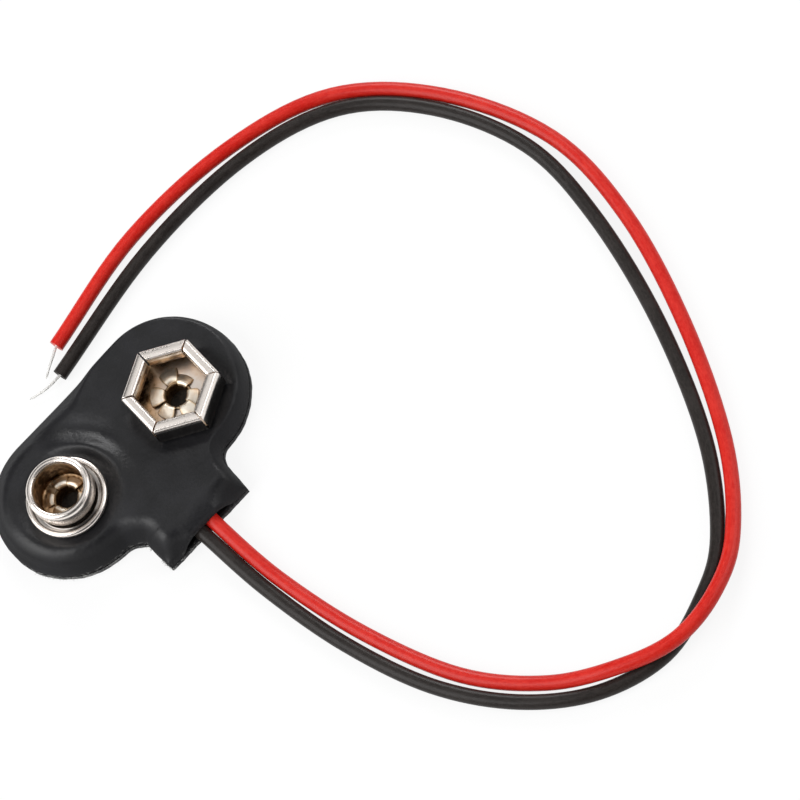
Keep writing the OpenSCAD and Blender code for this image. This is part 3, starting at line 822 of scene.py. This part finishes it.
def frayTree():
    pen, size = openTree("frayedEdge", {**fray, "Material": finish["fibre"]})
    spots = pen.node("GeometryNodeCurveToPoints", {"mode": "COUNT"},
                     {"Curve": size["Geometry"], "Count": size["Count"]})
    at = pen.vector("SCALE", pen.node("GeometryNodeInputPosition"), 1000.0)
    patch = pen.node("ShaderNodeTexNoise", None,
                     {"Vector": at, "Scale": frayForm["patch"], "Detail": 2.0}, "Fac")
    near = towards(pen, at, frayedSide).spread(*frayForm["thicker"])
    keep = pen.math("GREATER_THAN", patch + near, size["Patches"])
    stem = pen.node("GeometryNodeMeshCone", {"fill_type": "NGON"},
                    {"Vertices": frayForm["sides"], "Radius Top": frayForm["point"],
                     "Radius Bottom": size["Width"], "Depth": size["Length"]})
    inwards = pen.vector("CROSS_PRODUCT", spots.also("Tangent"), (0.0, 0.0, 1.0))
    aim = pen.node("FunctionNodeAlignRotationToVector", {"axis": "Z"},
                   {"Vector": pen.vector("SCALE", inwards, -1.0)})
    sway = pen.node("FunctionNodeRandomValue", {"data_type": "FLOAT_VECTOR"},
                    {0: (-frayForm["sway"],) * 3, 1: (frayForm["sway"],) * 3, "Seed": size["Seed"]}, 0)
    bent = pen.node("FunctionNodeEulerToRotation", None, {"Euler": sway})
    loose = pen.node("FunctionNodeRotateRotation", {"rotation_space": "LOCAL"},
                     {"Rotation": aim, "Rotate By": bent})
    length = pen.chance(*frayForm["lengths"], size["Seed"] + 3.0)
    tall = pen.node("ShaderNodeCombineXYZ", None, {0: 1.0, 1: 1.0, 2: length})
    tufts = pen.node("GeometryNodeInstanceOnPoints", None,
                     {"Points": spots, "Selection": keep, "Instance": stem, "Rotation": loose, "Scale": tall})
    closeTree(pen, tufts, size["Material"])
    return pen


def makeFray(rim):
    mesh = grow(lineObject("rimLine", rim, True), frayTree(), {**fray, "Material": finish["fibre"]})
    obj = placed("edgeFibres", mesh)
    print("edge frayed:", len(mesh.polygons), "faces")
    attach(obj, "root")
    return obj


makeFray(makeBackSkin())


def arc(cx, cz, r, a0, a1, n):
    return [(cx + r * cos(radians(a)), cz + r * sin(radians(a))) for a in np.linspace(a0, a1, n + 1)]


def crimp(cx, cz, r, power, n):      # pressed flatter than a round fold
    turns = np.radians(np.linspace(0, 180, n + 1))
    stretch = (abs(np.cos(turns)) ** power + abs(np.sin(turns)) ** power) ** (-1 / power)
    return [(cx + r * k * cos(a), cz + r * k * sin(a)) for a, k in zip(turns, stretch)]


def lathe(profile, marks, at, base, segments):
    n = len(profile)
    points, shade = [], []
    for k in range(segments):
        a = 2 * pi * k / segments
        for (r, z), mark in zip(profile, marks):
            points.append((mm * (at[0] + r * cos(a)), mm * (at[1] + r * sin(a)), mm * (base + z)))
            shade.append(mark)
    faces = []
    for k in range(segments):
        a, b = k * n, (k + 1) % segments * n
        faces += [[a + i, a + (i + 1) % n, b + (i + 1) % n, b + i] for i in range(n)]
    return points, faces, shade


def listed(parts):
    return [p for spots, mark in parts for p in spots], [mark for spots, mark in parts for p in spots]


# drawn stud: dish, rolled lip, waist, round-shouldered head and an open cup
# marks under 0 paint the outsides a dark dull grey, painted shade in place of their dark reflection and
# shadow, and marks over 0 turn the insides warm and brown, partly real stain and partly painted shade in the
# hollows
stud = {"dish": 3.6, "bend": 0.5, "lipZ": 0.56, "roll": 0.26, "sheet": 0.25, "waist": 2.62, "root": 0.22,
        "waistZ": 1.1, "head": 2.85, "under": 0.25, "underZ": 1.5, "sideZ": 2.6, "crown": 0.36, "mouth": 0.24,
        "cup": 2.24, "cupZ": (1.6, 1.0), "cupEdge": 0.55, "top": 3.2, "hole": 1.3, "segments": 128}


def makeStud():
    s = stud
    bendX, top, cup, sheet = s["dish"] - s["bend"], s["top"], s["cup"], s["sheet"]
    parts = [([(s["hole"], 0.0)], 0.6), (arc(bendX, s["bend"], s["bend"], -90, 0, 10), 0.1),
             (arc(s["dish"] - s["roll"], s["lipZ"], s["roll"], 0, 190, 16), 0.0),
             (arc(bendX, s["bend"], s["bend"] - sheet, 0, -90, 8), -0.40),
             (arc(s["waist"] + s["root"], sheet + s["root"], s["root"], -90, -180, 6), -0.55),
             ([(s["waist"], s["waistZ"])], -0.50),
             (arc(s["head"] - s["under"], s["underZ"], s["under"], -40, 0, 4), -0.35),
             ([(s["head"], s["sideZ"])], -0.30),
             (arc(s["head"] - s["crown"], top - s["crown"], s["crown"], 0, 90, 14), 0.0),
             (arc(cup + s["mouth"], top - s["mouth"], s["mouth"], 90, 180, 12), 0.05),
             ([(cup, top - s["cupEdge"])], 0.7), ([(cup, z) for z in s["cupZ"]], 1.0),
             (arc(cup - sheet, sheet + sheet, sheet, 0, -90, 5), 0.95), ([(s["hole"], sheet)], 0.6)]
    points, faces, shade = lathe(*listed(parts), studAt, cover["seatZ"], s["segments"])
    obj = meshObject("studContact", points, faces, finish["nickel"], 40, {"recess": shade})
    print("stud turned:", len(faces), "faces")
    return belongs(obj, "contact_nickel", "stud_contact")


makeStud()


# six petals about an axis, from one petal
def ringTree(name, sizes):
    pen, size = openTree(name, sizes)
    axis = pen.node("ShaderNodeCombineXYZ", None, {0: size["AxisX"], 1: size["AxisY"], 2: size["AxisZ"]})
    spots = pen.node("GeometryNodePoints", None, {"Count": size["Count"], "Position": axis})
    index = pen.node("GeometryNodeInputIndex")
    turn = (index + size["Phase"]) / size["Count"] * (2 * pi)
    seed = size["Seed"]
    lean, swing = pen.chance(-1.0, 1.0, seed), pen.chance(-1.0, 1.0, seed + 5.0)
    tipped = pen.node("ShaderNodeCombineXYZ", None,
                      {0: 0.0, 1: lean * size["Lean"], 2: swing * size["Swing"]})
    turned = pen.node("ShaderNodeCombineXYZ", None, {0: 0.0, 1: 0.0, 2: turn})
    tilt = pen.node("FunctionNodeEulerToRotation", None, {"Euler": tipped})
    face = pen.node("FunctionNodeEulerToRotation", None, {"Euler": turned})
    both = pen.node("FunctionNodeRotateRotation", {"rotation_space": "LOCAL"},
                    {"Rotation": face, "Rotate By": tilt})
    long, broad = pen.chance(-1.0, 1.0, seed + 9.0), pen.chance(-1.0, 0.4, seed + 14.0)
    grown = pen.node("ShaderNodeCombineXYZ", None,
                     {0: long * size["Vary"] + 1.0, 1: broad * size["Vary"] + 1.0, 2: 1.0})
    petals = pen.node("GeometryNodeInstanceOnPoints", None,
                      {"Points": spots, "Instance": size["Geometry"], "Rotation": both, "Scale": grown})
    closeTree(pen, petals, size["Material"])
    return pen


def addTo(mesh, extra, sharp):
    joined = bmesh.new()
    joined.from_mesh(mesh)
    joined.from_mesh(extra.data)
    joined.to_mesh(mesh)
    joined.free()
    bpy.data.objects.remove(extra)
    smooth(mesh, sharp)


# hexagonal socket: a floor and six walls folded over inwards
socket = {"half": 3.775, "bend": 0.4, "fold": 0.5, "crimp": 2.9, "top": 2.9, "sheet": 0.25, "lip": 1.4,
          "slit": 0.12, "hole": 1.3, "wallZ": (1.2, 2.2), "lipIn": 0.3, "across": 14, "soften": 0.018,
          "sharp": 30, "rings": 5, "spokes": 96, "paintedShadeAt": radians(140), "paintedShadeWide": radians(62)}
petalRing = {"Count": 6, "Phase": 0.0, "Lean": 0.010, "Swing": 0.006, "Vary": 0.0, "Seed": 3,
             "AxisX": socketAt[0] * mm, "AxisY": socketAt[1] * mm, "AxisZ": cover["seatZ"] * mm}


def makePetal():
    s = socket
    foldX, foldZ = s["half"] - s["fold"], s["top"] - s["fold"]
    footX, inner = s["half"] - s["bend"], s["fold"] - s["sheet"]
    tip = s["half"] - 2 * s["fold"] + s["sheet"] / 2
    # the outer wall and bend carry marks under 0, painted shade; the inner side of the fold carries marks
    # over 0, partly real stain and partly painted shade
    parts = [(arc(footX, s["bend"], s["bend"], -90, 0, 8), -0.5),
             ([(s["half"], z) for z in s["wallZ"]], -0.7),
             (crimp(foldX, foldZ, s["fold"], s["crimp"], 26), 0.1),
             ([(foldX - s["fold"], foldZ - s["lipIn"])], 0.7),
             (arc(tip, s["lip"], s["sheet"] / 2, 180, 360, 8), 0.9),
             (arc(foldX, foldZ, inner, 180, 0, 12), 1.0),
             (arc(footX, s["bend"], s["bend"] - s["sheet"], 0, -90, 6), 1.0)]
    section, marks = listed(parts)
    n, stations = len(section), [-1.0, -0.985, *np.linspace(-0.95, 0.95, s["across"]), 0.985, 1.0]
    points, shade = [], []
    for share in stations:
        pull = s["soften"] if abs(share) == 1.0 else 0.0      # softened cut ends
        for (x, z), mark in zip(section, marks):
            y = share * (x - s["slit"]) * tan(radians(30))
            points.append((mm * x, mm * y, mm * (z - pull * (z > foldZ))))
            shade.append(mark)
    last = (len(stations) - 1) * n
    faces = [[j + i, j + (i + 1) % n, j + n + (i + 1) % n, j + n + i]
             for j in range(0, last, n) for i in range(n)]
    faces += [list(range(n)), list(range(last, last + n))[::-1]]
    return meshObject("petalForm", points, faces, finish["nickel"], s["sharp"], {"recess": shade})


def makeSocket():
    sizes = {**petalRing, "Material": finish["nickel"]}
    walls = grow(makePetal(), ringTree("petalRing", sizes), sizes)
    addTo(walls, makeHexFloor(), socket["sharp"])
    print("socket folded:", len(walls.polygons), "faces")
    return belongs(placed("socketContact", walls), "contact_nickel", "socket_contact")


def makeHexFloor():
    s = socket
    rings, spokes = s["rings"], s["spokes"]
    points, shade = [], []
    for z in (cover["seatZ"] + 0.0, cover["seatZ"] + s["sheet"]):
        for j in range(rings + 1):
            for k in range(spokes):
                a = 2 * pi * k / spokes
                flat = (s["half"] - s["bend"]) / cos((a + pi / 6) % (pi / 3) - pi / 6)
                r = mix(s["hole"], flat, j / rings)
                points.append((mm * (socketAt[0] + r * cos(a)), mm * (socketAt[1] + r * sin(a)), mm * z))
                # the marks grow towards the walls and on one side of the floor: painted shade in the corners
                # and on the side the walls shade
                paintedShade = hill((a - s["paintedShadeAt"] + pi) % (2 * pi) - pi, s["paintedShadeWide"])
                shade.append(0.30 + 0.30 * (j / rings) ** 2 + 0.45 * paintedShade * (0.4 + 0.6 * j / rings))
    layer = (rings + 1) * spokes
    faces = []
    for j in range(rings + 1):
        for k in range(spokes):
            a, b = j * spokes + k, j * spokes + (k + 1) % spokes
            c, d = layer + a, layer + b
            if j < rings:
                faces += [[a, a + spokes, b + spokes, b], [c, d, d + spokes, c + spokes]]
            if j in (0, rings):
                faces.append([a, b, d, c])
    return meshObject("hexFloor", points, faces, finish["nickel"], s["sharp"], {"recess": shade})


makeSocket()


# hollow rivets: a head under the board, a tube, and a mouth split into leaves that lie on the contact
rivet = {"bore": 1.0, "tube": 1.25, "head": 2.1, "headT": 0.25, "headEdge": 0.06, "curlZ": 3.11, "curl": 0.40,
         "leafT": 0.17, "rest": ((0.30, 0.35), (0.55, 0.29), (0.80, 0.22), (1.0, 0.17), (1.04, 0.10)),
         "halfAngle": 27.5, "taper": 1.5, "nose": 5.0, "noseFrom": 0.75, "sag": 0.05, "rim": 0.85,
         "columns": 9, "tubeEnd": (-0.02, 0.10, 0.14), "mouthIn": 0.1, "segments": 72, "sharp": 40}
leafRing = {"Count": 6, "Phase": 0.3, "Lean": 0.13, "Swing": 0.17, "Vary": 0.17, "AxisZ": rivet["curlZ"] * mm}


def leafForm(reach):
    r = rivet
    crest, cols = r["bore"] + r["curl"], r["columns"]
    upper = arc(crest, 0.0, r["curl"], 180, 78, 9) + [(mix(crest, reach, t), z) for t, z in r["rest"]]
    rows = len(upper)
    points, shade = [], []
    for lower in (False, True):
        for i, (x, z) in enumerate(upper):
            share = i / (rows - 1)
            nose = max(0, share - r["noseFrom"]) / (1 - r["noseFrom"])
            halfAngle = radians(r["halfAngle"] - r["taper"] * share - r["nose"] * nose)
            slope = min(1.0, max(0.0, (x - r["bore"]) / r["curl"]))
            for k in range(cols):
                t = -1 + 2 * k / (cols - 1)
                a, px, pz = t * halfAngle, x, z - r["sag"] * share * t * t
                if lower:
                    drop = r["leafT"] * (0.75 + 0.25 * (1 - t * t))
                    px = x + drop * (1 - slope)
                    pz = max(pz - drop * (0.25 + 0.75 * slope), 0.005 + 0.004 * share)
                points.append((mm * px * cos(a), mm * px * sin(a), mm * pz))
                # browner towards the bore and darkest along the edges: painted shade at the bore and in the
                # splits between the leaves
                shade.append(0.75 - 0.75 * min(1.0, share * 2.2) + (r["rim"] if abs(t) > 0.9 else 0.0))
    layer = rows * cols
    faces = gridFaces(rows, cols, ()) + gridFaces(rows, cols, (), layer, True)
    loop = rimLoop(rows, cols)
    faces += [[a, b, b + layer, a + layer] for a, b in zip(loop, loop[1:] + loop[:1])]
    return meshObject("leafForm", points, faces, finish["brass"], r["sharp"], {"recess": shade})


def makeRivet(name, node, at, reach, seed):
    r = rivet
    low, foot, tall, edge = cover["plateZ"], cover["plateZ"] - r["headT"], r["curlZ"], r["headEdge"]
    first, second, third = (tall + step for step in r["tubeEnd"])
    profile = [(r["bore"], foot), (r["head"] - edge, foot), (r["head"], foot + edge), (r["head"], low),
               (r["tube"], low), (r["tube"], first), (r["tube"], second), (r["bore"] + r["mouthIn"], third),
               (r["bore"], tall)]
    # higher marks in the bore and its mouth: browner and darker, painted shade in the hole
    marks = [0.8, 0.3, 0.2, 0.3, 0.6, 0.8, 0.8, 0.6, 0.9]
    points, faces, shade = lathe(profile, marks, at, 0.0, r["segments"])
    tube = meshObject(name + "Tube", points, faces, finish["brass"], r["sharp"], {"recess": shade})
    sizes = {**leafRing, "Seed": seed, "AxisX": at[0] * mm, "AxisY": at[1] * mm, "Material": finish["brass"]}
    mesh = grow(leafForm(reach), ringTree(name + "Leaves", sizes), sizes)
    addTo(mesh, tube, r["sharp"])
    print(name, "split:", len(mesh.polygons), "faces")
    return belongs(placed(name, mesh), "rivet_brass", node)


makeRivet("studRivet", "stud_rivet", studAt, 1.92, 8)
makeRivet("socketRivet", "socket_rivet", socketAt, 2.22, 21)


# pieces inside the sandwich keep their solids
for node, word in (("stiffener_plate", "board"), ("stud_solder", "flux"), ("socket_solder", "flux"),
                   ("red_tail", "copper"), ("black_tail", "copper")):
    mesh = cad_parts[node].data
    mesh.materials.clear()
    mesh.materials.append(finish[word])


# studio: white paper, soft boxes from the top, the left and weakly the right of the picture, and a dim dome
studio = {"floor": 3.0, "floorZ": -0.02, "paper": 0.95, "bounce": 0.45, "glow": 0.87,
          "dome": ((0.0, 1.0), (0.10, 0.9), (0.30, 0.15), (0.60, 0.08), (0.80, 0.32), (0.91, 0.86),
                   (1.0, 0.95))}
boxes = ({"name": "keyBox", "azimuth": 51.0, "elevation": 31.0, "reach": 0.75, "size": 0.30, "power": 2.4},
         {"name": "leftBox", "azimuth": 174.0, "elevation": 40.0, "reach": 0.85, "size": 0.80, "power": 7.6},
         {"name": "rightBox", "azimuth": -25.0, "elevation": 35.0, "reach": 0.85, "size": 0.60, "power": 2.4})
shades = ({"azimuth": -98.0, "elevation": 62.0, "from": 0.80, "to": 0.95, "depth": 0.85},
          {"azimuth": 75.0, "elevation": 4.0, "from": 0.72, "to": 0.95, "depth": 0.70})


def makeFloor():
    size, low = studio["floor"], studio["floorZ"] * mm
    corners = [(-size, -size, low), (size, -size, low), (size, size, low), (-size, size, low)]
    mesh = bpy.data.meshes.new("paperFloor")
    mesh.from_pydata(corners, [], [(0, 1, 2, 3)])
    material = bpy.data.materials.new("whitePaper")
    material.use_nodes = True
    tree = material.node_tree
    tree.nodes.clear()
    pen = Wire(tree)
    ray = pen.node("ShaderNodeLightPath", out="Is Camera Ray")
    shone = pen.math("MAXIMUM", ray.also("Is Glossy Ray"), ray.also("Is Transmission Ray"))
    seen = pen.math("MAXIMUM", ray, shone)
    shade = seen.blend((studio["bounce"],) * 3 + (1,), (studio["paper"],) * 3 + (1,))
    paper = pen.node("ShaderNodeBsdfDiffuse", None, {"Color": shade})
    glow = pen.node("ShaderNodeEmission", None, {"Color": (1, 1, 1, 1), "Strength": 1.0})
    whole = pen.node("ShaderNodeMixShader", None, {0: seen * studio["glow"], 1: paper, 2: glow})
    end = tree.nodes.new("ShaderNodeOutputMaterial")
    tree.links.new(whole.socket, end.inputs["Surface"])
    mesh.materials.append(material)
    placed("paperFloor", mesh)


def heading(spot):
    az, el = radians(spot["azimuth"]), radians(spot["elevation"])
    return Vector((cos(az) * cos(el), sin(az) * cos(el), sin(el)))


def makeLights():
    world = bpy.data.worlds.new("studioWorld")
    scene.world = world
    world.use_nodes = True
    tree = world.node_tree
    tree.nodes.clear()
    pen = Wire(tree)
    toward = pen.node("ShaderNodeTexCoord", out="Generated")
    height = pen.node("ShaderNodeSeparateXYZ", None, {0: toward}, "Z")
    stops = [(spot, (level, level, level, 1)) for spot, level in studio["dome"]]
    level = pen.node("ShaderNodeValToRGB", {"stops": stops}, {0: height})
    for dark in shades:      # dim on the camera's own side and low behind the pad
        side = pen.vector("DOT_PRODUCT", toward, heading(dark), "Value")
        dim = side.spread(dark["from"], dark["to"], 1.0, 1.0 - dark["depth"])
        level = pen.vector("SCALE", level, dim)
    sky = pen.node("ShaderNodeBackground", None, {"Color": level, "Strength": 1.0})
    end = tree.nodes.new("ShaderNodeOutputWorld")
    tree.links.new(sky.socket, end.inputs["Surface"])
    for box in boxes:
        aim = heading(box)
        data = bpy.data.lights.new(box["name"], "AREA")
        data.shape, data.size, data.energy = "SQUARE", box["size"], box["power"]
        lamp = placed(box["name"], data)
        lamp.location = aim * box["reach"]
        lamp.rotation_euler = (-aim).to_track_quat("-Z", "Y").to_euler()


makeFloor()
makeLights()
print("studio lit")
